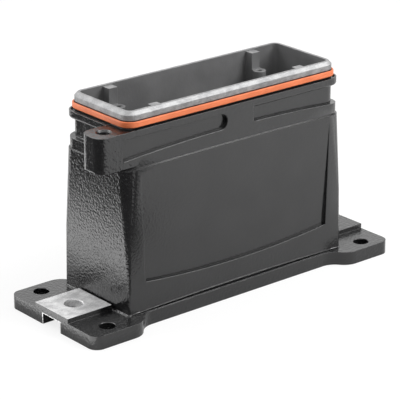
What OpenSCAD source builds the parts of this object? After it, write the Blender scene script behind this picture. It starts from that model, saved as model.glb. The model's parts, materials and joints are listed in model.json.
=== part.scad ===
// Base housing of a heavy duty rectangular connector, 24-pole size, for bulkhead mounting.
// One aluminium casting: drilled foot plate, hollow tower, stepped head with two locking lugs
// and a bare rim. An orange seal sits round the rim, a second one under the foot plate.
// Frame: origin at the bottom centre, X along the housing, -Y to the panel side, Z up.

/* [Insert opening] */
// Length of the opening that takes the contact insert
bore_l = 145.4; // [138:0.1:165]
// Width of the opening
bore_w = 45.4; // [42:0.1:56]
// Corner radius of the opening
bore_r = 3; // [2:0.5:4]

/* [Foot plate] */
// Thickness of the foot plate
foot_t = 8; // [7.5:0.5:12]
// Reach of the foot plate beyond each end of the tower
foot_reach = 31.5; // [31:0.1:40]
// Reach of the foot plate beyond each side of the tower, between the ears
waist_step = 1.45; // [1.3:0.05:3]
// Reach of each ear beyond the waist
ear_reach = 9.1; // [8:0.1:14]
// Length of each ear at its full width
ear_l = 27.9; // [25:0.1:34]
// Length of the double curve from the ear to the waist
ear_sweep = 18; // [15:0.5:22]
// Radius of the outer corners of the ears
ear_r = 6; // [2:0.5:9]
// Distance of the foot holes from the end of the plate
hole_in_x = 15.4; // [12:0.1:20]
// Distance of the foot holes from the long edge of the ears
hole_in_y = 9.15; // [8:0.05:9.5]
// Diameter of the foot holes, clearance for M8
foot_hole_d = 9; // [6:0.5:10]
// Chamfer at the mouths of the foot holes
hole_chamfer = 0.3; // [0.1:0.1:1]

/* [Earth connection] */
// Length of each raised end block, from the end of the plate
block_l = 30.4; // [28:0.1:31]
// Width of each raised end block
block_w = 30.4; // [24:0.2:32]
// Height of each raised end block above the foot plate
block_h = 2.9; // [1:0.1:4]
// Diameter of the earth bolt hole, clearance for M10
earth_hole_d = 10.5; // [8:0.5:12]
// Distance of the earth bolt hole from the end of the plate
earth_hole_in = 15.4; // [13:0.1:16.4]
// Width of the channel that keeps the bolt head from turning
channel_w = 16.4; // [14:0.1:19]
// Height of the channel for the bolt head
channel_h = 6.4; // [4:0.1:6.9]
// Length of the channel from the end of the plate
channel_l = 26.9; // [24.6:0.1:28]

/* [Tower] */
// Height of the top of the tower above the base, at the middle of its arched edge
tower_z = 93.2; // [70:0.1:120]
// Step from the end of the ridge out to the end of the tower
tower_step_x = 0.6; // [0.1:0.1:1.5]
// Step from the side of the head out to the side of the tower
tower_step_y = 0.5; // [0.1:0.1:1]
// Slope of each side of the tower, from its top to its foot
tower_draft = 0.65; // [0.2:0.05:1.2]
// Radius of the arched top edge of the tower
tower_arch_r = 3200; // [2000:100:9000]
// Corner radius at the top of the tower
tower_r_top = 7.8; // [6:0.1:9]
// Corner radius half way up the tower
tower_r_mid = 2.5; // [2:0.1:4]
// Corner radius at the foot of the tower
tower_r_foot = 1.3; // [1:0.1:2]
// Height at which the corners change from sharp to round
tower_mid_z = 45; // [35:1:60]
// Reach of the sloped plinth round the foot of the tower
plinth_step = 0.8; // [0.2:0.1:0.9]
// Height of that plinth above the foot plate
plinth_h = 2; // [1:0.1:3]

/* [Panel recess] */
// Distance of the upper corners of the recess from the end of the tower
panel_in_top = 9.9; // [6:0.1:20]
// Distance of the lower corners of the recess from the end of the tower
panel_in_foot = 12.9; // [8:0.1:24]
// Depth below the top of the tower at which the recess runs out into the face
panel_drop = 5.2; // [3:0.1:12]
// Height of the lowest point of the arched lower edge
panel_z_foot = 22; // [16:0.5:40]
// Radius of the arched lower edge
panel_arch_r = 600; // [300:10:1200]
// Depth of the recess at its lower edge
panel_depth = 1.8; // [0.5:0.1:2.2]

/* [Head] */
// Wall between the opening and the end of the neck
neck_wall_x = 3.1; // [2:0.1:3.3]
// Wall between the opening and the side of the neck
neck_wall_y = 3.3; // [2.5:0.1:4]
// Corner radius of the neck
neck_r = 6; // [4:0.5:8]
// Height of the neck between the ridge and the collar
neck_h = 8.1; // [8:0.1:12]
// Step from the end of the neck out to the end of the ridge
ridge_step_x = 3; // [2:0.1:4]
// Step from the side of the neck out to the side of the head, and depth of the label pocket
ridge_step_y = 2.2; // [1.8:0.1:3]
// Height of the top of the ridge above the top of the tower, at the middle of its arched edge
ridge_h = 8.5; // [7:0.1:12]
// Radius of the arched top edge of the ridge
ridge_arch_r = 1000; // [800:50:4000]
// Step from the end of the ridge out to the end of the collar
collar_step = 0.3; // [0.1:0.1:1]
// Corner radius of ridge and collar
collar_r = 8; // [6.5:0.5:9]
// Rounding of the lower edge of the collar
collar_round = 1.5; // [0.5:0.1:1.8]
// Height of the collar up to the top of its lip
collar_h = 4.6; // [3.9:0.1:8]
// Width of the collar lip
lip_w = 0.9; // [0.5:0.1:1.2]
// Depth of the trough between the lip and the rim
trough_h = 1; // [0.5:0.1:1.5]
// Position along X where the solid band beside each lug ends
band_end = 11.5; // [0:0.5:40]

/* [Locking lugs] */
// Reach of the front lug beyond the end of the ridge
lug_reach = 18.4; // [15:0.1:22]
// Reach of the rear lug beyond the end of the ridge
rear_lug_reach = 16.8; // [15:0.1:22]
// Width of each lug along Y
lug_w = 17.4; // [16:0.2:20]
// Height of the underside of the lugs above the top of the tower
lug_up = 1; // [0.5:0.1:7]
// Radius of the outer upright corner of the front lug
lug_r = 5; // [2:0.5:7]
// Radius of the outer upright corner of the rear lug
rear_lug_r = 8; // [2:0.5:9]
// Radius of the inner upright corner of each lug
lug_r_inner = 6.5; // [2:0.5:7]
// Rounding of the lower outer edge of each lug
lug_foot_r = 1; // [0.5:0.5:4]
// Distance of the lug holes beyond the end of the ridge
lug_hole_out = 8.2; // [7:0.1:10]
// Distance of the lug holes in from the side of the head
lug_hole_in = 9.1; // [7:0.1:10]
// Core diameter of the lug thread, M8
lug_core_d = 6.8; // [5:0.1:8.5]
// Countersink diameter of the lug thread
lug_sink_d = 9; // [8.6:0.1:11]

/* [Label pocket] */
// Reach of the pocket on the lug beyond the end of the ridge
pocket_on_lug = 2.7; // [0:0.1:5]
// Distance of the rounded end of the pocket from the middle of the housing
pocket_end = 8; // [4:0.5:20]
// Reach of the pocket up into the collar
pocket_rise = 0.8; // [0.2:0.1:1.2]
// Radius of the rounded end of the pocket
pocket_r = 4; // [2:0.5:4]
// Radius of the corner of the pocket on the lug
pocket_r_lug = 1.5; // [0.5:0.5:3]

/* [Rim] */
// Wall thickness of the rim
rim_t = 3.3; // [3:0.1:3.5]
// Height of the rim above the lip
rim_h = 9.6; // [7:0.1:14]
// Width of the flat land on top of the rim
rim_land = 1.6; // [1:0.1:2.4]
// Height of the lead-in chamfer outside the rim
rim_chamfer_h = 1.9; // [0.5:0.1:2.5]

/* [Insert seats] */
// Distance of the insert screws from the end of the opening
screw_in_x = 20.7; // [18:0.1:24]
// Distance of the insert screws from the side of the opening
screw_in_y = 9.2; // [8.5:0.1:9.8]
// Diameter of the screw bosses
boss_d = 7.8; // [7:0.1:8.4]
// Depth of the top of the bosses below the lip
boss_drop = 1; // [0:0.1:3]
// Core diameter of the insert screw threads, M4
screw_core_d = 3.3; // [3:0.1:3.6]
// Depth of the insert screw threads
screw_depth = 12; // [8:0.5:16]
// Shift of the ribs from the screws towards the ends
rib_shift = 0.5; // [0:0.1:1]
// Depth of the top of the ribs below the top of the rim
rib_drop = 0.8; // [0.2:0.1:4]
// Width of each rib
rib_w = 6; // [4:0.5:8]
// Reach of each rib into the opening
rib_reach = 5.4; // [4:0.1:6]
// Depth to which ribs and bosses reach below the top of the tower
seat_depth = 3.2; // [2:0.1:12]

/* [Cavity] */
// Wall of the tower at its ends, at the base
base_wall_x = 3.6; // [3.4:0.1:5]
// Wall of the tower at its sides, at the base
base_wall_y = 4.95; // [4.75:0.05:6]
// Height above the top of the tower at which the cavity starts to widen downwards
cavity_up = 2.8; // [0:0.1:6]

/* [Seals] */
// Thickness of the rim seal, out from the rim
seal_w = 1.3; // [1:0.05:2]
// Height of the rim seal
seal_h = 3.4; // [2.5:0.1:4]
// Gap between the lip and the rim seal above it
seal_up = 1; // [0.5:0.1:2]
// Width of the groove for the flange seal
groove_w = 3.4; // [2:0.1:3.6]
// Depth of the groove for the flange seal
groove_h = 2.2; // [1.5:0.1:3]
// Distance of the groove from the edge of the cavity
groove_in = 1.7; // [1.5:0.1:1.9]
// Clearance at each side of the flange seal
groove_gap = 0.2; // [0.1:0.05:0.4]

/* [Hidden] */
$fn = 64;
loft_fn = 32;
arch_fn = 1440;
cut = 1;
skin = 0.01;
// Depth to which the head reaches down into the tower
head_sink = 3;

paint = [0.11, 0.11, 0.12];
orange = [0.93, 0.45, 0.25];
dark_rubber = [0.09, 0.09, 0.09];

// Lengths and widths, from the opening outwards
bore_hx = bore_l / 2;
bore_hy = bore_w / 2;
rim_r = bore_r + rim_t;
neck_hx = bore_hx + neck_wall_x;
neck_hy = bore_hy + neck_wall_y;
ridge_hx = neck_hx + ridge_step_x;
head_hy = neck_hy + ridge_step_y;
collar_hx = ridge_hx + collar_step;
tower_l = 2 * (ridge_hx + tower_step_x);
tower_w_top = 2 * (head_hy + tower_step_y);
tower_w_foot = tower_w_top + 2 * tower_draft;
waist_hy = tower_w_foot / 2 + waist_step;
waist_w = 2 * waist_hy;
foot_hx = tower_l / 2 + foot_reach;
foot_hy = waist_hy + ear_reach;
foot_l = 2 * foot_hx;
foot_w = 2 * foot_hy;
cavity_hx = tower_l / 2 - base_wall_x;
cavity_hy = tower_w_foot / 2 - base_wall_y;

// Heights, from the tower upwards
ridge_z = tower_z + ridge_h;
collar_z = ridge_z + neck_h;
lip_z = collar_z + collar_h;
rim_z = lip_z + rim_h;
boss_z = lip_z - boss_drop;
rib_z = rim_z - rib_drop;
rib_foot_z = tower_z - seat_depth;
cavity_z = tower_z + cavity_up;
lug_z = tower_z + lug_up;
seal_z0 = lip_z + seal_up;
seal_z1 = seal_z0 + seal_h;

// Places of screws, ribs and lug holes
screw_x = bore_hx - screw_in_x;
screw_y = bore_hy - screw_in_y;
rib_x = screw_x + rib_shift;
rib_y = bore_hy - rib_reach;
lug_hole_x = ridge_hx + lug_hole_out;
lug_hole_y = head_hy - lug_hole_in;

// Double curve of the ears: two equal arcs that meet in the middle
ear_turn = 2 * atan(ear_reach / ear_sweep);
ear_arc = ear_sweep / (2 * sin(ear_turn));
ear_x = foot_hx - ear_l;

// Plinth and middle section of the tower
plinth_z = foot_t + plinth_h;
tower_w_mid = tower_w_foot
    + (tower_w_top - tower_w_foot) * (tower_mid_z - plinth_z) / (tower_z - plinth_z);

// Rectangle with four equal round corners
module round_rect(l, w, r) {
    square([l, w - 2 * r], center = true);
    square([l - 2 * r, w], center = true);
    for (sx = [-1, 1], sy = [-1, 1])
        translate([sx * (l / 2 - r), sy * (w / 2 - r)])
            circle(r);
}

// Upright block with round corners between two heights
module round_block(l, w, r, z0, z1) {
    translate([0, 0, z0])
        linear_extrude(z1 - z0)
            round_rect(l, w, r);
}

// Block that changes size and corner radius between two heights
module round_loft(l0, w0, r0, z0, l1, w1, r1, z1) {
    hull($fn = loft_fn) {
        round_block(l0, w0, r0, z0, z0 + skin, $fn = loft_fn);
        round_block(l1, w1, r1, z1 - skin, z1, $fn = loft_fn);
    }
}

// Sweeps a profile round a rectangle. The profile's x runs outwards from the line between
// the corner centres, which stand cx and cy from the middle. Its y is the height.
module sweep_round(cx, cy) {
    for (turn = [0, 180])
        rotate(turn) {
            translate([-cx, cy, 0]) rotate([90, 0, 90]) linear_extrude(2 * cx) children();
            translate([cx, cy, 0]) rotate([90, 0, 0]) linear_extrude(2 * cy) children();
            translate([cx, cy, 0]) rotate_extrude(angle = 90) children();
            translate([-cx, cy, 0]) rotate(90) rotate_extrude(angle = 90) children();
        }
}

// The same shape at both ends of a half-turn about the Z axis
module both_ways() {
    children();
    rotate(180) children();
}

// One shape in each of the four quarters of the plan
module four_ways() {
    for (mx = [0, 1], my = [0, 1])
        mirror([mx, 0, 0]) mirror([0, my, 0]) children();
}

// Height of an arch with its top at z, at a distance x from the middle
function arch_z(z, r, x) = z - r + sqrt(r * r - x * x);

// Disc whose upper edge is an arch with its top at z, for shapes drawn in X and Z
module arch_disc(z, r) {
    translate([0, z - r]) circle(r, $fn = arch_fn);
}

// Everything of its children that lies below an arch along X
module below_arch(z, r) {
    intersection() {
        children();
        rotate([90, 0, 0])
            linear_extrude(2 * foot_w, center = true)
                intersection() {
                    arch_disc(z, r);
                    translate([-foot_hx, 0]) square([foot_l, z]);
                }
    }
}

// Plan of the ear at +X +Y, cut off at the centre line
module ear_plan() {
    difference() {
        polygon([
            [ear_x - ear_sweep, 0],
            [ear_x - ear_sweep, waist_hy],
            [ear_x, foot_hy],
            [foot_hx, foot_hy],
            [foot_hx, 0]
        ]);
        translate([ear_x - ear_sweep, waist_hy + ear_arc]) circle(ear_arc);
    }
    translate([ear_x, foot_hy - ear_arc]) circle(ear_arc);
}

module foot_plate() {
    linear_extrude(foot_t)
        intersection() {
            round_rect(foot_l, foot_w, ear_r);
            union() {
                square([foot_l, waist_w], center = true);
                four_ways() ear_plan();
            }
        }
    both_ways()
        translate([foot_hx - block_l, -block_w / 2, 0])
            cube([block_l, block_w, foot_t + block_h]);
    round_loft(tower_l + 2 * plinth_step, tower_w_foot + 2 * plinth_step,
        tower_r_foot + plinth_step, foot_t - skin,
        tower_l, tower_w_foot, tower_r_foot, plinth_z);
}

module tower() {
    round_loft(tower_l, tower_w_foot, tower_r_foot, plinth_z - skin,
        tower_l, tower_w_mid, tower_r_mid, tower_mid_z);
    below_arch(tower_z, tower_arch_r)
        round_loft(tower_l, tower_w_mid, tower_r_mid, tower_mid_z - skin,
            tower_l, tower_w_top, tower_r_top, tower_z);
}

// Wedge cut into the long face at -Y, seen from the front as a panel with an arched foot
module panel_recess() {
    face_y = tower_w_mid / 2;
    foot_x = tower_l / 2 - panel_in_foot;
    top_x = tower_l / 2 - panel_in_top;
    top_z = tower_z - panel_drop;
    intersection() {
        rotate([90, 0, 0])
            linear_extrude(foot_w)
                intersection() {
                    polygon([
                        [-foot_x, 0], [foot_x, 0], [top_x, tower_z], [-top_x, tower_z]
                    ]);
                    translate([0, panel_z_foot + panel_arch_r])
                        circle(panel_arch_r, $fn = arch_fn);
                }
        translate([-foot_hx, 0, 0])
            rotate([90, 0, 90])
                linear_extrude(foot_l)
                    polygon([
                        [-tower_w_top / 2, top_z],
                        [-face_y + panel_depth, panel_z_foot],
                        [-face_y + panel_depth, 0],
                        [-foot_w, 0],
                        [-foot_w, top_z]
                    ]);
    }
}

// Lug at -X -Y: upright round corners in plan, a round lower edge at its outer end
module lug(reach, r) {
    intersection() {
        translate([0, 0, lug_z])
            linear_extrude(lip_z - lug_z) {
                translate([-reach + r, -head_hy + r]) circle(r);
                translate([-reach + lug_r_inner, -head_hy + lug_w - lug_r_inner])
                    circle(lug_r_inner);
                translate([-reach, -head_hy + r])
                    square([reach - bore_hx, lug_w - r - lug_r_inner]);
                translate([-reach + max(r, lug_r_inner), -head_hy])
                    square([reach - max(r, lug_r_inner) - bore_hx, lug_w]);
                translate([-reach + r, -head_hy])
                    square([reach - r - bore_hx, lug_w - lug_r_inner]);
                translate([-reach + lug_r_inner, -head_hy + r])
                    square([reach - lug_r_inner - bore_hx, lug_w - r]);
            }
        rotate([90, 0, 0])
            linear_extrude(2 * head_hy) {
                translate([-reach + lug_foot_r, lug_z + lug_foot_r]) circle(lug_foot_r);
                translate([-reach, lug_z + lug_foot_r]) square([reach, lip_z - lug_z]);
                translate([-reach + lug_foot_r, lug_z]) square([reach, lip_z - lug_z]);
            }
    }
}

// Collar with a round lower edge, a seal trough and a thin lip
module collar() {
    cx = collar_hx - collar_r;
    cy = head_hy - collar_r;
    trough_z = lip_z - trough_h;
    translate([-cx, -cy, collar_z]) cube([2 * cx, 2 * cy, trough_z - collar_z]);
    sweep_round(cx, cy) {
        translate([0, collar_z]) square([collar_r - collar_round, trough_z - collar_z]);
        translate([0, collar_z + collar_round])
            square([collar_r, trough_z - collar_z - collar_round]);
        translate([collar_r - collar_round, collar_z + collar_round]) circle(collar_round);
        translate([collar_r - lip_w, collar_z + collar_round])
            square([lip_w, lip_z - collar_z - collar_round]);
    }
}

module rim() {
    foot_z = collar_z - cut;
    sweep_round(bore_hx - bore_r, bore_hy - bore_r)
        polygon([
            [bore_r, foot_z], [rim_r, foot_z],
            [rim_r, rim_z - rim_chamfer_h], [bore_r + rim_land, rim_z], [bore_r, rim_z]
        ]);
}

module head() {
    low_z = tower_z - head_sink;
    below_arch(ridge_z, ridge_arch_r)
        round_block(2 * ridge_hx, 2 * head_hy, collar_r, low_z, ridge_z);
    round_block(2 * neck_hx, 2 * neck_hy, neck_r, low_z, collar_z + skin);
    both_ways()
        translate([-bore_hx, -head_hy, low_z])
            cube([bore_hx + band_end, head_hy - bore_hy, collar_z + collar_round - low_z]);
    lug(ridge_hx + lug_reach, lug_r);
    rotate(180) lug(ridge_hx + rear_lug_reach, rear_lug_r);
    collar();
    rim();
}

// Ribs to the rim and bosses for the insert screws, one of each in every quarter
module insert_seats() {
    four_ways() {
        translate([rib_x - rib_w / 2, rib_y, rib_foot_z])
            cube([rib_w, bore_hy + cut - rib_y, rib_z - rib_foot_z]);
        translate([rib_x - rib_w / 2, screw_y, rib_foot_z])
            cube([rib_w, bore_hy - screw_y, boss_z - rib_foot_z]);
        translate([screw_x, screw_y, rib_foot_z]) cylinder(d = boss_d, h = boss_z - rib_foot_z);
    }
}

module cavity() {
    round_block(bore_l, bore_w, bore_r, cavity_z - skin, rim_z + cut);
    round_loft(2 * cavity_hx, 2 * cavity_hy, bore_r, 0, bore_l, bore_w, bore_r, cavity_z);
    round_block(2 * cavity_hx, 2 * cavity_hy, bore_r, -cut, skin);
}

// Plain hole with a chamfer at its upper mouth, or at both
module chamfered_hole(d, z0, z1, c, both = true) {
    translate([0, 0, z0 - cut]) cylinder(d = d, h = z1 - z0 + 2 * cut);
    translate([0, 0, z1 - c]) cylinder(d1 = d, d2 = d + 2 * c + 2 * cut, h = c + cut);
    if (both)
        translate([0, 0, z0 - cut]) cylinder(d1 = d + 2 * c + 2 * cut, d2 = d, h = c + cut);
}

module holes() {
    four_ways()
        translate([foot_hx - hole_in_x, foot_hy - hole_in_y, 0])
            chamfered_hole(foot_hole_d, 0, foot_t, hole_chamfer);
    translate([-foot_hx + earth_hole_in, 0, 0])
        chamfered_hole(earth_hole_d, 0, foot_t + block_h, hole_chamfer, both = false);
    four_ways()
        translate([screw_x, screw_y, boss_z - screw_depth]) {
            cylinder(d = screw_core_d, h = screw_depth + cut);
            translate([0, 0, screw_depth - hole_chamfer])
                cylinder(d1 = screw_core_d, d2 = screw_core_d + 2 * (hole_chamfer + cut),
                    h = hole_chamfer + cut);
        }
    both_ways()
        translate([-lug_hole_x, -lug_hole_y, 0])
            chamfered_hole(lug_core_d, lug_z, lip_z, (lug_sink_d - lug_core_d) / 2);
}

module bolt_channel() {
    translate([-foot_hx - cut, -channel_w / 2, -cut])
        cube([channel_l + cut, channel_w, channel_h + cut]);
}

// Pocket in the front band down to the neck face, with the arched ridge as its lower edge
module label_pocket() {
    x0 = -ridge_hx - pocket_on_lug;
    x1 = -pocket_end;
    z1 = collar_z + pocket_rise;
    lug_end_z = arch_z(ridge_z, ridge_arch_r, x0);
    translate([0, -neck_hy, 0])
        rotate([90, 0, 0])
            linear_extrude(head_hy - neck_hy + cut)
                difference() {
                    union() {
                        translate([x0 + pocket_r_lug, lug_end_z])
                            square([x1 - pocket_r - x0 - pocket_r_lug, z1 - lug_end_z]);
                        translate([x0 + pocket_r_lug, lug_end_z + pocket_r_lug])
                            circle(pocket_r_lug);
                        translate([x0, lug_end_z + pocket_r_lug])
                            square([2 * pocket_r_lug, z1 - lug_end_z - pocket_r_lug]);
                        translate([x0, ridge_z + pocket_r])
                            square([x1 - x0, z1 - ridge_z - 2 * pocket_r]);
                        for (z = [ridge_z + pocket_r, z1 - pocket_r])
                            translate([x1 - pocket_r, z]) circle(pocket_r);
                    }
                    arch_disc(ridge_z, ridge_arch_r);
                }
}

// Ring under the foot plate round the cavity, with a gap at each side of the groove's width
module groove_ring(gap, below) {
    sweep_round(cavity_hx - bore_r, cavity_hy - bore_r)
        translate([bore_r + groove_in + gap, -below])
            square([groove_w - 2 * gap, groove_h + below]);
}

module housing() {
    color(paint)
        difference() {
            union() {
                difference() {
                    union() {
                        foot_plate();
                        tower();
                        head();
                    }
                    cavity();
                }
                insert_seats();
            }
            both_ways() panel_recess();
            holes();
            bolt_channel();
            label_pocket();
            groove_ring(0, cut);
        }
}

// Flat cord stretched round the rim, its upper and lower edges fully round
module rim_seal() {
    round_r = seal_w / 2;
    color(orange)
        sweep_round(bore_hx - bore_r, bore_hy - bore_r) {
            translate([rim_r, seal_z0 + round_r])
                square([seal_w, seal_z1 - seal_z0 - seal_w]);
            for (z = [seal_z0 + round_r, seal_z1 - round_r])
                translate([rim_r + round_r, z]) circle(round_r);
        }
}

module flange_seal() {
    color(dark_rubber) groove_ring(groove_gap, 0);
}

housing();
rim_seal();
flange_seal();
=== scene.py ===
# %% [markdown]
# # A connector housing in black powder coat
#
# The object is the base housing of a heavy duty rectangular connector. It is one aluminium
# casting: a drilled foot plate, a hollow tower and a stepped head with two locking lugs and a
# bare rim. An orange seal sits round the rim and a black one lies in a groove under the foot.
#
# The solids come from the CAD model, which gives every size. Blender adds what a CAD model
# lacks: soft edges, the skin of the powder coat, milled metal, screw threads and the light.

# %% Load the CAD frame
import json
import math

import bmesh
import bpy
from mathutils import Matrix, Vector


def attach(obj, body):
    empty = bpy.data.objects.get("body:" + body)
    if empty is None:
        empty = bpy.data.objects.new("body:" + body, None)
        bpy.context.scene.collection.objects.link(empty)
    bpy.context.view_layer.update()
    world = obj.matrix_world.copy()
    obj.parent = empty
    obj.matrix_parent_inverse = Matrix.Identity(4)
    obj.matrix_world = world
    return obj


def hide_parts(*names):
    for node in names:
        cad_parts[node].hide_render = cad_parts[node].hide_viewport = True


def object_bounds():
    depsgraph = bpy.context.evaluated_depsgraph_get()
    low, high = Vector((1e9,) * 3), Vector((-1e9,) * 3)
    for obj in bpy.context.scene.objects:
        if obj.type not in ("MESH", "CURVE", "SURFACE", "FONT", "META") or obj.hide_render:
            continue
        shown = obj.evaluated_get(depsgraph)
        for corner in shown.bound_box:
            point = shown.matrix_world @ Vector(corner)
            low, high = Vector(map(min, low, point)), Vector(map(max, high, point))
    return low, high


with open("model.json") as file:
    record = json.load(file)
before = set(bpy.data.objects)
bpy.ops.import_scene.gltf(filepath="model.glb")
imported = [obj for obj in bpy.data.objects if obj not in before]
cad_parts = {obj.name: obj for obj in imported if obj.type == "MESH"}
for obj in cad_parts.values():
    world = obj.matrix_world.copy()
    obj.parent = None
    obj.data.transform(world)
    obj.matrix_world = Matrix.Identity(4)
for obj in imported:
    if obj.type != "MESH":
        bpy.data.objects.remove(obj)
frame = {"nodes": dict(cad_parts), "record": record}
cad_low, cad_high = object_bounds()
MM = 0.001
mounts = {mount["name"]: mount for mount in frame["record"]["mounts"]}
print("CAD nodes:", sorted(frame["nodes"]))
print("CAD box in mm:", [round((high - low) / MM, 1) for low, high in zip(cad_low, cad_high)])
print("mounts:", sorted(mounts))

# %% [markdown]
# ## Camera
#
# A long lens from far away keeps the upright edges nearly parallel, as product pictures have
# them. The camera stands to the left of the front and looks down by 21 degrees. Its place and
# its line of sight are written as numbers, so that a render can be laid over a measured view.

# %% Camera
camera_data = bpy.data.cameras.new("long_lens")
camera_data.sensor_width = 36
camera_data.lens = 186.8
camera_data.clip_start = 0.1
camera_data.clip_end = 20
camera = bpy.data.objects.new("camera", camera_data)
bpy.context.collection.objects.link(camera)
camera.location = (-0.71671, -0.85565, 0.47568)
line_of_sight = Vector((0.59766, 0.71780, -0.35717))
camera.rotation_euler = line_of_sight.to_track_quat("-Z", "Y").to_euler()
bpy.context.scene.camera = camera
looks_down = math.degrees(math.asin(-line_of_sight.normalized().z))
print("camera looks down by", round(looks_down, 1), "degrees")

# %% [markdown]
# ## Materials as arithmetic
#
# A procedural material is a small calculation that runs at every point of a surface. Wiring it
# node by node is hard to read, so a `Value` wraps one output socket and knows the usual
# operators: `1 - mask` or `grain * 0.2` each add one Math node.

# %% Values with operators
class Value:
    """An output socket on which + - * add Math nodes."""

    def __init__(self, wiring, socket):
        self.wiring = wiring
        self.socket = socket

    def __add__(self, other):
        return self.wiring.math("ADD", self, other)

    def __sub__(self, other):
        return self.wiring.math("SUBTRACT", self, other)

    def __rsub__(self, other):
        return self.wiring.math("SUBTRACT", other, self)

    def __mul__(self, other):
        return self.wiring.math("MULTIPLY", self, other)

    __radd__ = __add__
    __rmul__ = __mul__


# %% [markdown]
# Every other node comes from one method of `Wiring`, which takes the node's type, its settings
# and what goes into its sockets. Settings such as the operation of a Math node come first,
# because they decide which sockets a node has. A material, the floor and the sky all use it.

# %% Wiring of a node tree
class Wiring:
    """Adds nodes to one emptied node tree."""

    def __init__(self, tree):
        self.tree = tree
        self.tree.nodes.clear()

    def feed(self, socket, value):
        if isinstance(value, Value):
            self.tree.links.new(value.socket, socket)
        else:
            socket.default_value = value

    def node(self, kind, settings=None, inputs=None, output=0):
        node = self.tree.nodes.new(kind)
        for name, setting in (settings or {}).items():
            setattr(node, name, setting)
        for name, value in (inputs or {}).items():
            self.feed(node.inputs[name], value)
        return Value(self, node.outputs[output])

    def outputs(self, kind, inputs=None):
        made = self.node(kind, inputs=inputs).socket.node
        return {output.name: Value(self, output) for output in made.outputs}

    def math(self, operation, first, second):
        return self.node("ShaderNodeMath", {"operation": operation}, {0: first, 1: second})

    def surface(self, shader, kind="ShaderNodeOutputMaterial"):
        output = self.tree.nodes.new(kind)
        self.feed(output.inputs["Surface"], shader)


# %% [markdown]
# A `Finish` is a material with one Principled shader. Its methods are the few building blocks
# that all finishes of this object share. Patterns read Object coordinates, which are metres
# here, so a noise scale of 700 has features of about a millimetre and a half.

# %% A finish and its building blocks
class Finish(Wiring):
    """A material with one Principled shader, built up by method calls."""

    def __init__(self, name):
        self.material = bpy.data.materials.new(name)
        self.material.use_nodes = True
        super().__init__(self.material.node_tree)
        principled = self.node("ShaderNodeBsdfPrincipled")
        self.shader = principled.socket.node
        self.surface(principled)

    def place(self):
        return self.node("ShaderNodeTexCoord", output="Object")

    def stretched(self, place, scale):
        return self.node("ShaderNodeMapping", {"vector_type": "POINT"},
                         {"Vector": place, "Scale": scale})

    def noise(self, place, scale, detail=2.0, roughness=0.5):
        return self.node("ShaderNodeTexNoise", {"noise_dimensions": "3D"},
                         {"Vector": place, "Scale": scale, "Detail": detail,
                          "Roughness": roughness})

    def step(self, value, low, high):
        return self.node("ShaderNodeMapRange", {"interpolation_type": "SMOOTHSTEP", "clamp": True},
                         {"Value": value, "From Min": low, "From Max": high})

    def blend(self, amount, first, second):
        return self.node("ShaderNodeMix", {"data_type": "RGBA"},
                         {0: amount, 6: first, 7: second}, output=2)

    def size(self, value):
        return self.node("ShaderNodeMath", {"operation": "ABSOLUTE"}, {0: value})

    def round_edges(self, radius):
        return self.node("ShaderNodeBevel", {"samples": 8}, {"Radius": radius})

    def bump(self, height, distance, normal):
        return self.node("ShaderNodeBump", {},
                         {"Height": height, "Distance": distance, "Normal": normal})

    def set(self, **sockets):
        for name, value in sockets.items():
            self.feed(self.shader.inputs[name.replace("_", " ")], value)


# %% [markdown]
# ## Black powder coat
#
# Powder coat melts into a film that never levels out fully. It keeps a soft waviness about two
# millimetres across, called orange peel, with a finer grain on top. The colour is a near black
# that hardly varies; what the eye sees is the gloss breaking up over the waves. So the colour
# stays dark, and the noises drive the bump and a little of the roughness.
#
# The knife edges of the CAD solid would give the paint away, because a coat runs round an edge
# and leaves a thin bright line there. A Bevel node bends the normal near every edge, and the
# bump of the waves is laid over it. The mesh itself keeps its flat faces.
#
# The channel for the earth bolt gets a thin line of bare metal colour round its mouth: a painted
# highlight along the channel's edge. A mask made from the coordinates puts it there.

# %% Powder coat
EDGE_ROUND = 0.42 * MM
PEEL_SCALE, GRAIN_SCALE, CLOUD_SCALE = 720, 2200, 45
COAT_IOR = 1.6
CHANNEL_MOUTH_X = cad_low[0] + 0.5 * MM
CHANNEL_MOUTH_Y = 8.75 * MM
CHANNEL_MOUTH_Z = 6.95 * MM
# Colour of the painted highlight round the channel's mouth.
MOUTH_HIGHLIGHT_COLOUR = (0.7, 0.7, 0.7, 1)


def painted_highlight_at_mouth(finish, spot):
    """1 on the painted highlight line round the channel's mouth, 0 elsewhere."""
    x, y, z = finish.outputs("ShaderNodeSeparateXYZ", {"Vector": spot}).values()
    beside = finish.step(finish.size(y), CHANNEL_MOUTH_Y, CHANNEL_MOUTH_Y - 0.15 * MM)
    below = finish.step(z, CHANNEL_MOUTH_Z, CHANNEL_MOUTH_Z - 0.15 * MM)
    return finish.step(x, CHANNEL_MOUTH_X, CHANNEL_MOUTH_X - 0.1 * MM) * beside * below


def powder_coat(name, colours, roughness, wave, edge=EDGE_ROUND, mouth_highlight=False):
    finish = Finish(name)
    spot = finish.place()
    peel = finish.noise(spot, PEEL_SCALE, detail=1.5, roughness=0.45)
    grain = finish.noise(spot, GRAIN_SCALE, detail=1.0)
    cloud = finish.noise(spot, CLOUD_SCALE, detail=2.0)
    paint = finish.blend(finish.step(cloud, 0.3, 0.7), *colours)
    # Painted highlight: a thin line of bare metal colour, fully metallic, round the channel's
    # mouth.
    if mouth_highlight:
        highlight_line = painted_highlight_at_mouth(finish, spot)
        paint = finish.blend(highlight_line, paint, MOUTH_HIGHLIGHT_COLOUR)
        finish.set(Metallic=highlight_line)
    waves = finish.bump(peel + 0.15 * grain, wave, finish.round_edges(edge))
    finish.set(Base_Color=paint, Roughness=roughness + 0.07 * cloud + 0.05 * grain,
               Normal=waves, IOR=COAT_IOR)
    return finish


# %% [markdown]
# The coat isn't the same all over. It lies thickest and waviest on the two ends. The long faces
# are smoother, with broad soft edges, and the floors and walls of their recesses keep crisp
# corners, which draws each recess as a dark line. In the cavity it is thin, grey and matt.

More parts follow.
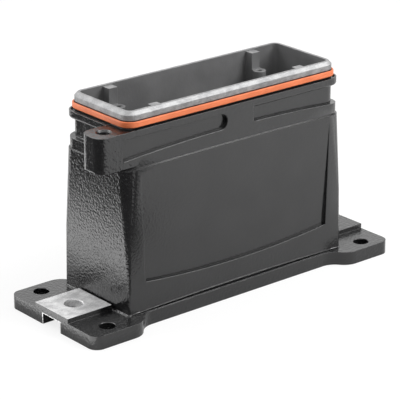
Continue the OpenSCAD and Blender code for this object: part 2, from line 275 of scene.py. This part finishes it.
# %% The four coats
BLACK = ((0.007, 0.007, 0.0075, 1), (0.011, 0.011, 0.0115, 1))
GREY = ((0.13, 0.13, 0.132, 1), (0.18, 0.18, 0.182, 1))
# The end coat carries the painted highlight round the channel's mouth.
outer_coat = powder_coat("black_powder_coat", BLACK, 0.09, 0.25 * MM, mouth_highlight=True)
face_coat = powder_coat("coat_on_long_faces", BLACK, 0.15, 0.14 * MM, edge=1.2 * MM)
recess_coat = powder_coat("coat_in_recesses", BLACK, 0.15, 0.1 * MM, edge=0.08 * MM)
inner_coat = powder_coat("thin_inner_coat", GREY, 0.48, 0.08 * MM)
print("powder coat nodes:", len(outer_coat.tree.nodes))

# %% [markdown]
# ## Bare aluminium
#
# The rim, the rib tops, the screw seats and the earth pad are machined after painting, so that
# they seal and conduct. Die-cast aluminium looks like dull light grey there: fine pores, and
# the faint crossed marks of a face mill. Noise stretched one way and then the other gives the
# marks without any repeat. Under a given height, just above the seal, the rim's finish turns to
# a dark paint colour: this is painted shade, for the thin contact shadow above the seal and the
# dark gap under it.

# %% Machined aluminium
PORE_SCALE, MARK_SCALE, PATCH_SCALE = 2600, 1400, 160
# Painted shade: under this height the rim wall takes a dark paint colour, for the contact shadow
# just above the seal and the shade in the gap under it.
RIM_SHADE_LINE = 119.25 * MM
PAINTED_SHADE_COLOUR = (0.012, 0.012, 0.013, 1)


def bare_aluminium(name, dark, light, metal_share, shade_line=None):
    finish = Finish(name)
    spot = finish.place()
    pores = finish.noise(spot, PORE_SCALE, detail=3.0, roughness=0.6)
    marks = finish.noise(finish.stretched(spot, (0.25, 3.0, 1.0)), MARK_SCALE, detail=2.0)
    patch = finish.noise(spot, PATCH_SCALE, detail=3.0)
    grain = pores * 0.5 + marks * 0.5
    metal = finish.blend(finish.step(grain * 0.6 + patch * 0.4, 0.38, 0.62), dark, light)
    dull = 0.50 + 0.16 * grain
    finish.set(Normal=finish.bump(grain, 0.05 * MM, finish.round_edges(EDGE_ROUND)))
    if shade_line is None:
        finish.set(Base_Color=metal, Metallic=metal_share, Roughness=dull)
        return finish
    height = finish.outputs("ShaderNodeSeparateXYZ", {"Vector": spot})["Z"]
    # Under the line the finish turns to the dark colour of painted shade.
    cut = finish.step(height + 0.3 * MM * patch, shade_line, shade_line + 0.25 * MM)
    finish.set(Base_Color=finish.blend(cut, PAINTED_SHADE_COLOUR, metal),
               Metallic=cut * metal_share, Roughness=0.3 * (1 - cut) + dull * cut)
    return finish


pad_metal = bare_aluminium("machined_aluminium", (0.50, 0.50, 0.505, 1), (0.90, 0.90, 0.90, 1),
                           0.45)
# The rim's finish carries the painted shade at the seal.
rim_metal = bare_aluminium("machined_rim", (0.22, 0.22, 0.225, 1), (0.35, 0.35, 0.35, 1), 1.0,
                           shade_line=RIM_SHADE_LINE)
print("machined aluminium nodes:", len(rim_metal.tree.nodes))

# %% [markdown]
# ## Rubber
#
# Silicone rubber scatters light below its surface and keeps a satin skin. A fine grain in the
# bump and a slow change of tone keep the moulded cord from looking like plastic.

# %% Rubber finishes
SKIN_SCALE, TONE_SCALE = 1800, 90


def rubber(name, dark, light, roughness):
    finish = Finish(name)
    spot = finish.place()
    skin = finish.noise(spot, SKIN_SCALE, detail=2.0)
    tone = finish.noise(spot, TONE_SCALE, detail=2.0)
    finish.set(Base_Color=finish.blend(finish.step(tone, 0.35, 0.65), dark, light),
               Roughness=roughness + 0.12 * skin,
               Normal=finish.bump(skin, 0.03 * MM, finish.round_edges(0.2 * MM)))
    return finish


orange_rubber = rubber("orange_silicone", (0.72, 0.17, 0.055, 1), (0.80, 0.20, 0.070, 1), 0.42)
black_rubber = rubber("black_rubber", (0.018, 0.018, 0.018, 1), (0.028, 0.028, 0.028, 1), 0.62)
print("rubber nodes:", len(orange_rubber.tree.nodes))

# %% [markdown]
# ## The casting
#
# The CAD solid already has nearly the whole shape, so the casting is a copy of its mesh. Only
# the foot line is reshaped, and each face then gets its finish. Rounding all edges of such a
# mesh would be slow and would dent its flat faces, so the Bevel nodes above do that.
#
# The CAD mesh is loose triangles with exact normals at their corners. Merging them keeps the
# shape but would lose those normals, so they are first written into a layer of their own.

# %% A merged copy that keeps the exact normals
cad_mesh = frame["nodes"]["housing"].data
exact_normals = [tuple(corner.vector) for corner in cad_mesh.corner_normals]
casting_mesh = cad_mesh.copy()
casting_mesh.name = "casting"
shape = bmesh.new()
shape.from_mesh(casting_mesh)
exact = shape.loops.layers.float_vector.new("exact")
corners = [loop for face in shape.faces for loop in face.loops]
for loop, normal in zip(corners, exact_normals):
    loop[exact] = normal
bmesh.ops.remove_doubles(shape, verts=shape.verts, dist=0.0005 * MM)
print("merged to", len(shape.verts), "vertices and", len(shape.faces), "faces")

# %% [markdown]
# ## The arched groove at the foot
#
# Where the tower stands on the foot plate, the CAD solid has a plain sloped plinth. The real
# casting has a small fillet there, and along the two long sides the fillet rises in a low arch
# over a groove. The two long slopes are made one face each, so that planes can cut them into an
# even grid, and each row of the grid is then set to its own depth and height.

# %% The sloped plinth round the tower
FOOT_TOP, PLINTH_TOP = 8.0, 10.0
LONG_SIDE, FACE_Y, PLINTH_REACH = 78.1, 29.35, 0.8


def near(value, target):
    return abs(value / MM - target) < 0.01


def is_slope(face):
    heights = [vertex.co.z / MM for vertex in face.verts]
    return (0.3 < face.normal.z < 0.45 and min(heights) > FOOT_TOP - 0.01
            and max(heights) < PLINTH_TOP + 0.01)


def is_long_slope(face):
    return is_slope(face) and abs(face.normal.x) < 0.01


inner_edges = [edge for edge in shape.edges if len(edge.link_faces) == 2
               and all(is_long_slope(face) for face in edge.link_faces)]
bmesh.ops.dissolve_edges(shape, edges=inner_edges)
ring = {vertex for face in shape.faces if is_slope(face) for vertex in face.verts
        if near(vertex.co.z, PLINTH_TOP)}
print("vertices along the plinth's top:", len(ring))

# %% Grid on the long slopes
COLUMNS = 26
ROW_CUTS = (9.6, 9.2, 8.4)


def cut_long_slopes(place, direction):
    slopes = [face for face in shape.faces if is_long_slope(face)]
    parts = set(slopes)
    for face in slopes:
        parts.update(face.edges)
        parts.update(face.verts)
    bmesh.ops.bisect_plane(shape, geom=list(parts), dist=0.001 * MM,
                           plane_co=place, plane_no=direction)


for column in range(1, COLUMNS):
    cut_long_slopes(((2 * column / COLUMNS - 1) * LONG_SIDE * MM, 0, 0), (1, 0, 0))
for height in ROW_CUTS:
    cut_long_slopes((0, 0, height * MM), (0, 0, 1))
grid = [face for face in shape.faces if is_long_slope(face)]
print("grid faces:", len(grid))

# %% [markdown]
# Each row is given by how far it stands out from the tower's face and by its share of the
# height that the arch has at that place: the arch's own edge, the lower end of its rounding,
# the bottom of the groove behind it, and the lip in front. The groove runs out at both ends.

# %% Rows of the groove
FILLET_TOP, ARCH_TOP = 8.9, 10.6
EDGE_SHARE, ROUND_SHARE = 1.0, 0.66
ROWS = {PLINTH_TOP: (0.0, EDGE_SHARE), 9.6: (0.30, ROUND_SHARE), 9.2: (-0.7, 0.2),
        8.4: (0.72, 0.06)}


def along_side(vertex):
    """0 at the middle of the long side, 1 at its ends."""
    return min(abs(vertex.co.x) / (LONG_SIDE * MM), 1)


def arch_height(vertex):
    """Height of the arch above the foot plate in mm."""
    return FILLET_TOP - FOOT_TOP + (ARCH_TOP - FILLET_TOP) * (1 - along_side(vertex) ** 2)


def set_row(vertex, reach, share):
    if reach < 0:
        reach *= 1 - along_side(vertex) ** 4
    vertex.co.y = math.copysign((FACE_Y + reach) * MM, vertex.co.y)
    vertex.co.z = (FOOT_TOP + arch_height(vertex) * share) * MM


for vertex in {vertex for face in grid for vertex in face.verts}:
    row = next((row for height, row in ROWS.items() if near(vertex.co.z, height)), None)
    if row:
        set_row(vertex, *row)
for vertex in ring:
    if near(vertex.co.z, PLINTH_TOP):
        vertex.co.z = FILLET_TOP * MM
print("arch rises from", FILLET_TOP, "to", ARCH_TOP, "mm")

# %% [markdown]
# The reshaped faces need new normals. Flat ones would do for most of them, but the edge of the
# arch is rounded on the casting. Its normals start near level and lean upwards below, so the
# row reads as a thin bright line without any more faces.

# %% Normals of the reshaped faces
LEAN = {EDGE_SHARE: math.radians(6), ROUND_SHARE: math.radians(36)}
shape.normal_update()
fillet = {face for vertex in ring for face in vertex.link_faces
          if max(corner.co.z for corner in face.verts) < (ARCH_TOP + 0.1) * MM}
for face in fillet | set(grid):
    face.smooth = True
    for loop in face.loops:
        loop[exact] = face.normal


def share_of_arch(height, vertex):
    return (height / MM - FOOT_TOP) / arch_height(vertex)


for face in grid:
    middle = face.calc_center_median().z
    for loop in face.loops:
        lean = LEAN.get(round(share_of_arch(loop.vert.co.z, loop.vert), 2))
        if lean is not None and share_of_arch(middle, loop.vert) > 0.75:
            out = math.copysign(1, loop.vert.co.y)
            loop[exact] = (0, out * math.cos(lean), math.sin(lean))
print("faces with new normals:", len(fillet | set(grid)))

# %% [markdown]
# ## Soft corners of the tower
#
# The CAD rounds the tower's upright corners with a radius that shrinks towards the foot. On the
# casting the long faces also ease into those corners, more so near the top. Turning the normals
# along the seam between face and rounding gives that soft change, and the flat mesh can stay.

# %% Normals along the upright seams
SEAM_TURN = math.radians(19)
SEAM_AT_TOP, SEAM_RUN = 70.4, 0.08
TOWER_LOW, TOWER_TOP = 10.5, 93
turned = 0
for loop in (loop for face in shape.faces for loop in face.loops):
    corner = loop.vert.co / MM
    normal = Vector(loop[exact])
    beyond_seam = abs(corner.x) > SEAM_AT_TOP + SEAM_RUN * (TOWER_TOP - corner.z)
    on_tower = TOWER_LOW < corner.z < TOWER_TOP + 0.6 and abs(corner.y) > 26
    faces_out = abs(normal.y) > 0.985
    if on_tower and beyond_seam and faces_out:
        normal.x += math.copysign(math.tan(SEAM_TURN * corner.z / TOWER_TOP), corner.x)
        loop[exact] = normal.normalized()
        turned += 1
print("turned corners:", turned)

# %% [markdown]
# The bmesh now goes back to a mesh, and the normals from the layer become its custom normals.
# The layer itself has done its work, so it is taken out first.

# %% Back to a mesh
open_edges = sum(not edge.is_manifold for edge in shape.edges)
new_normals = [tuple(loop[exact]) for face in shape.faces for loop in face.loops]
shape.loops.layers.float_vector.remove(exact)
shape.to_mesh(casting_mesh)
shape.free()
casting_mesh.normals_split_custom_set(new_normals)
print("corners:", len(new_normals), "open edges:", open_edges)

# %% [markdown]
# ## A finish for every face
#
# One casting carries six finishes, and each face takes one by where it lies and which way it
# looks. That needs no painting by hand and still holds when the CAD mesh is made anew. The bare
# places come first: the rim and the rib tops are milled, the seats of the insert screws are
# spot faced, and the earth pad is the milled top of the left end block with the bolt's hole.

# %% Bare metal by place
OPENING_HALF_X, OPENING_HALF_Y, OPENING_CORNER = 72.7, 22.7, 3
RIM_WIDTH, RIM_FOOT, RIM_LAND, RIB_TOP = 3.3, 113.3, 118.9, 123
SEAT_TOP = mounts["insert_screws"]["pos_m"][2] / MM
EARTH_BOLT = Vector(mounts["earth_bolt"]["pos_m"]) / MM
EARTH_BOLT_R = mounts["earth_bolt"]["dims"]["r_mm"] + 0.15
PAD_LOW, PAD_HIGH, PAD_INNER_END = 10.6, 12, -78
BOLT_HOLE_LOW, BOLT_HOLE_HIGH = 6.3, 11
BOSS_REACH = 5.1
FACES_UP = 0.6


def beyond_opening(place):
    """How far a point lies outside the opening of the rim in mm, negative inside it."""
    across = Vector((max(abs(place.x) - OPENING_HALF_X + OPENING_CORNER, 0),
                     max(abs(place.y) - OPENING_HALF_Y + OPENING_CORNER, 0)))
    return across.length - OPENING_CORNER


def on_milled_rim(place, normal):
    beyond = beyond_opening(place)
    land = place.z > RIM_LAND and 0.1 < beyond < RIM_WIDTH + 0.2
    wall = normal.z < 0.3 and abs(beyond - RIM_WIDTH) < 0.1 and place.z > RIM_FOOT
    rib = normal.z > FACES_UP and place.z > RIB_TOP and beyond < 0.1
    return land or wall or rib


def on_bare_pad(place, normal):
    up = normal.z > FACES_UP
    seat = up and abs(place.z - SEAT_TOP) < 0.25 and beyond_opening(place) < -BOSS_REACH
    pad = up and PAD_LOW < place.z < PAD_HIGH and place.x < PAD_INNER_END
    in_bolt_hole = (BOLT_HOLE_LOW < place.z < BOLT_HOLE_HIGH
                    and (place - EARTH_BOLT).to_2d().length < EARTH_BOLT_R)
    return seat or pad or in_bolt_hole


print("screw seats at", round(SEAT_TOP, 1), "mm, earth bolt at", round(EARTH_BOLT.x, 1), "mm")

# %% [markdown]
# The coats follow. On a long side, the outer face and the floor of a recess look the same way,
# so they are told apart by their lean on the tower, whose outer face draws in towards the top
# while the recess draws in towards its foot, and by their depth on the head.

# %% Coats by place
HEAD_FACE = 28.2
TOWER_SIDE = {"z": (12, TOWER_TOP), "half_length": 74.5, "y": (26, 31)}
HEAD_SIDE = {"z": (TOWER_TOP, 112), "half_length": 78, "y": (25.4, 29.4)}
CAVITY_HALF_X, CAVITY_HALF_Y, CAVITY_TOP = 75.85, 24.45, 95


def in_groove(place, corner_count):
    return (FOOT_TOP < place.z < ARCH_TOP and abs(place.x) < LONG_SIDE
            and abs(abs(place.y) - FACE_Y) < PLINTH_REACH and corner_count == 4)


def within(place, side):
    (low, high), (inner, outer) = side["z"], side["y"]
    return (low < place.z < high and abs(place.x) < side["half_length"]
            and inner < abs(place.y) < outer)


def is_outer_face(place, normal):
    """False on the floors and the walls of the recesses."""
    leans_back = normal.z > 0
    proud = leans_back if place.z < TOWER_TOP else abs(place.y) > HEAD_FACE - 0.05
    return abs(normal.y) > 0.9 and proud


def in_cavity(place):
    walls = abs(place.x) < CAVITY_HALF_X and abs(place.y) < CAVITY_HALF_Y and place.z > 0.01
    return walls and (beyond_opening(place) < 0.1 or place.z < CAVITY_TOP)


# %% [markdown]
# With the tests named, the choice itself is short. The groove is asked for first, because its
# faces also lie on the long side.

# %% Give each face its finish
def finish_of(face):
    place, normal = face.center / MM, face.normal
    if in_groove(place, len(face.vertices)):
        return recess_coat
    if within(place, TOWER_SIDE) or within(place, HEAD_SIDE):
        return face_coat if is_outer_face(place, normal) else recess_coat
    if on_milled_rim(place, normal):
        return rim_metal
    if on_bare_pad(place, normal):
        return pad_metal
    return inner_coat if in_cavity(place) else outer_coat


finishes = [outer_coat, inner_coat, rim_metal, pad_metal, recess_coat, face_coat]
casting_mesh.materials.clear()
for finish in finishes:
    casting_mesh.materials.append(finish.material)
for face in casting_mesh.polygons:
    face.material_index = finishes.index(finish_of(face))
for number, finish in enumerate(finishes):
    print(finish.material.name, sum(face.material_index == number
                                    for face in casting_mesh.polygons), "faces")

# %% [markdown]
# The casting rides on the only body and takes the place of the CAD node, which is then
# hidden.

# %% Put the casting in the scene
def add_piece(mesh, name):
    piece = bpy.data.objects.new(name, mesh)
    bpy.context.collection.objects.link(piece)
    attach(piece, "root")
    return piece


casting = add_piece(casting_mesh, "casting")
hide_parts("housing")
print("casting stands for the housing")

# %% [markdown]
# ## Screw threads
#
# The CAD holes are plain bores at the core size of their threads. A thread is a small triangle
# swept along a helix, so one triangle is drawn beside the axis and spun: each step turns it and
# lifts it by its share of the pitch. The ridge has a root in the wall of the bore, and both of
# its ends are closed, so it is a solid of its own. Spinning is slow, so each size of thread is
# wound once and copied to its other holes.

# %% One wound ridge
STEPS_PER_TURN = 24


def wind_thread(shape, x, y, low, high, root, crest, pitch):
    """A helical ridge in mm round a vertical bore, from height low to height high."""
    half = 0.36 * pitch
    turns = int((high - low - 2 * half) / pitch)
    corners = [shape.verts.new((x + reach, y, low + half + rise))
               for reach, rise in ((root, -half), (crest, 0), (root, half))]
    bmesh.ops.spin(shape, geom=[shape.faces.new(corners)], cent=(x, y, 0), axis=(0, 0, 1),
                   dvec=(0, 0, pitch / STEPS_PER_TURN), angle=2 * math.pi * turns,
                   steps=turns * STEPS_PER_TURN, use_duplicate=False)
    return turns


def thread_piece(name, places, low, high, root, crest, pitch):
    shape = bmesh.new()
    first = Vector(places[0])
    turns = wind_thread(shape, first.x, first.y, low, high, root, crest, pitch)
    bmesh.ops.remove_doubles(shape, verts=shape.verts, dist=0.001)
    bmesh.ops.recalc_face_normals(shape, faces=shape.faces)
    ridge = shape.verts[:] + shape.edges[:] + shape.faces[:]
    for place in places[1:]:
        twin = bmesh.ops.duplicate(shape, geom=ridge)["geom"]
        moved = [part for part in twin if isinstance(part, bmesh.types.BMVert)]
        bmesh.ops.translate(shape, vec=(Vector(place) - first).to_3d(), verts=moved)
    bmesh.ops.scale(shape, vec=(MM, MM, MM), verts=shape.verts)
    open_edges = sum(not edge.is_manifold for edge in shape.edges)
    mesh = bpy.data.meshes.new(name)
    shape.to_mesh(mesh)
    shape.free()
    mesh.materials.append(pad_metal.material)
    print(name, "turns", turns, "faces", len(mesh.polygons), "open edges", open_edges)
    return add_piece(mesh, name)


# %% [markdown]
# The places and core sizes of both threads come from the record. The ridge starts slightly
# outside the bore's wall, so that no gap shows, and stops short of both ends of the hole.

# %% M8 in the lugs
M8_PITCH = 1.25
lug_mounts = [mounts["lock_thread_front"], mounts["lock_thread_rear"]]
lug_holes = [(mount["pos_m"][0] / MM, mount["pos_m"][1] / MM) for mount in lug_mounts]
lug_core = lug_mounts[0]["dims"]["r_mm"]
lug_middle = lug_mounts[0]["pos_m"][2] / MM
half_length = lug_mounts[0]["dims"]["length_mm"] / 2 - 0.1
thread_piece("lug_threads", lug_holes, lug_middle - half_length, lug_middle + half_length,
             lug_core + 0.05, lug_core - 0.38, M8_PITCH)

# %% M4 in the screw bosses
M4_PITCH, BOSS_THREAD = 0.7, 11.8
boss_dims = mounts["insert_screws"]["dims"]
boss_core = boss_dims["hole_r_mm"]
boss_holes = [(side_x * boss_dims["spacing_x_mm"] / 2, side_y * boss_dims["spacing_y_mm"] / 2)
              for side_x in (-1, 1) for side_y in (-1, 1)]
thread_piece("insert_threads", boss_holes, SEAT_TOP - BOSS_THREAD, SEAT_TOP - 0.2,
             boss_core + 0.03, boss_core - 0.21, M4_PITCH)

# %% [markdown]
# ## Seals
#
# Both seals already have their shape in the CAD model, so they only take a better finish.

# %% Seals
for node, finish in (("rim_seal", orange_rubber), ("flange_seal", black_rubber)):
    seal = frame["nodes"][node]
    for place in seal.material_slots:
        place.material = finish.material
    print(node, "takes", finish.material.name)

# %% [markdown]
# ## Floor
#
# A pale floor gives the object something to mirror, which is what makes black paint readable
# at all. The floor shows itself to the camera partly as a plain white card, so that it stays
# white while the soft shadow at the foot remains.

# %% Floor
def flat_sheet(name, low, high, height):
    """A rectangle between two corners, as an object with one material of its own."""
    shape = bmesh.new()
    bmesh.ops.create_grid(shape, x_segments=1, y_segments=1, size=0.5)
    bmesh.ops.scale(shape, vec=(high[0] - low[0], high[1] - low[1], 1), verts=shape.verts)
    bmesh.ops.translate(shape, vec=((high[0] + low[0]) / 2, (high[1] + low[1]) / 2, height),
                        verts=shape.verts)
    mesh = bpy.data.meshes.new(name)
    shape.to_mesh(mesh)
    shape.free()
    material = bpy.data.materials.new(name)
    material.use_nodes = True
    mesh.materials.append(material)
    sheet = bpy.data.objects.new(name, mesh)
    bpy.context.collection.objects.link(sheet)
    return sheet, Wiring(material.node_tree)


floor, wiring = flat_sheet("floor", (-6, -6), (6, 6), -0.2 * MM)
paper = wiring.node("ShaderNodeBsdfDiffuse", {}, {"Color": (0.92, 0.92, 0.92, 1)})
white_card = wiring.node("ShaderNodeEmission", {}, {"Color": (1, 1, 1, 1), "Strength": 1.06})
seen_by_camera = wiring.node("ShaderNodeLightPath", output="Is Camera Ray")
wiring.surface(wiring.node("ShaderNodeMixShader", {},
                           {0: seen_by_camera * 0.75, 1: paper, 2: white_card}))
print("floor reaches", [round(size, 2) for size in floor.dimensions])

# %% [markdown]
# ## Sky
#
# The room around the object is an even white. What the camera and the reflections see of it is
# brighter than the light that it sheds, so that the paint isn't washed out and the backdrop is
# still white. Light Path tells the two apart.

# %% Sky
SKY_LIGHT, SKY_SEEN = 0.45, 1.25
world = bpy.data.worlds.new("white_room")
bpy.context.scene.world = world
world.use_nodes = True
wiring = Wiring(world.node_tree)
rays = wiring.outputs("ShaderNodeLightPath")
seen = rays["Is Camera Ray"]
for kind in ("Is Glossy Ray", "Is Transmission Ray"):
    seen = wiring.math("MAXIMUM", seen, rays[kind])
wiring.surface(wiring.node("ShaderNodeBackground", {},
                           {"Color": (1, 1, 1, 1),
                            "Strength": SKY_LIGHT + (SKY_SEEN - SKY_LIGHT) * seen}),
               kind="ShaderNodeOutputWorld")
print("sky sheds", SKY_LIGHT, "and shows", SKY_SEEN)

# %% [markdown]
# ## Lamps
#
# Four soft boxes model the form. A low one behind the left end is mirrored along the edges that
# face up, one at the front right lights the long face, a high one behind adds the thin lines on
# top of the steps, and a weak one overhead fills the cavity. A box's power follows its area, so
# that its brightness can be set by itself.

# %% Soft boxes
def soft_box(name, place, aim, size, brightness):
    light = bpy.data.lights.new(name, "AREA")
    light.shape = "RECTANGLE"
    light.size, light.size_y = size
    light.energy = brightness * math.pi * size[0] * size[1]
    lamp = bpy.data.objects.new(name, light)
    lamp.location = place
    lamp.rotation_euler = (Vector(aim) - Vector(place)).to_track_quat("-Z", "Y").to_euler()
    lamp.visible_camera = False
    bpy.context.collection.objects.link(lamp)
    print(name, "power", round(light.energy, 2))


soft_box("box_back_left", (-0.55, 0.58, 0.11), (0, 0, 0.11), (0.45, 0.17), brightness=9.0)
soft_box("box_front_right", (0.47, -0.52, 0.72), (0, 0, 0.06), (0.50, 0.72), brightness=6.0)
soft_box("box_back_high", (-0.36, 0.62, 0.72), (0, 0, 0.06), (0.40, 0.40), brightness=4.5)
soft_box("box_overhead", (0.0, 0.0, 1.3), (0, 0, 0), (0.9, 0.9), brightness=1.2)

# %% [markdown]
# ## Cards on the floor
#
# Gloss on an upright face mirrors the floor in front of it. A studio lays black and white cards
# there to draw the form: a dark sheet to the left with a bright strip in it gives the left end
# its band of light, and dark sheets at the front darken the tower's upright corner. The cards
# show only in reflections, so the floor itself stays plain.

# %% Cards
def card_on_floor(name, low, high, brightness):
    card, wiring = flat_sheet(name, low, high, 0.4 * MM)
    wiring.surface(wiring.node("ShaderNodeEmission", {}, {"Strength": brightness}))
    card.visible_camera = False
    card.visible_diffuse = False
    card.visible_shadow = False
    print(name, "brightness", brightness)


DARK_EDGE = -0.170
card_on_floor("card_dark_left", (-1.2, -1.2), (DARK_EDGE, 1.2), 0.12)
card_on_floor("card_bright_left", (DARK_EDGE, -0.06), (-0.118, 0.32), 2.8)
card_on_floor("card_dark_corner", (-0.06, -0.255), (0.02, -0.13), 0.1)
card_on_floor("card_dark_front", (DARK_EDGE, -1.2), (-0.06, -0.075), 0.25)
bpy.context.scene.view_settings.view_transform = "Standard"
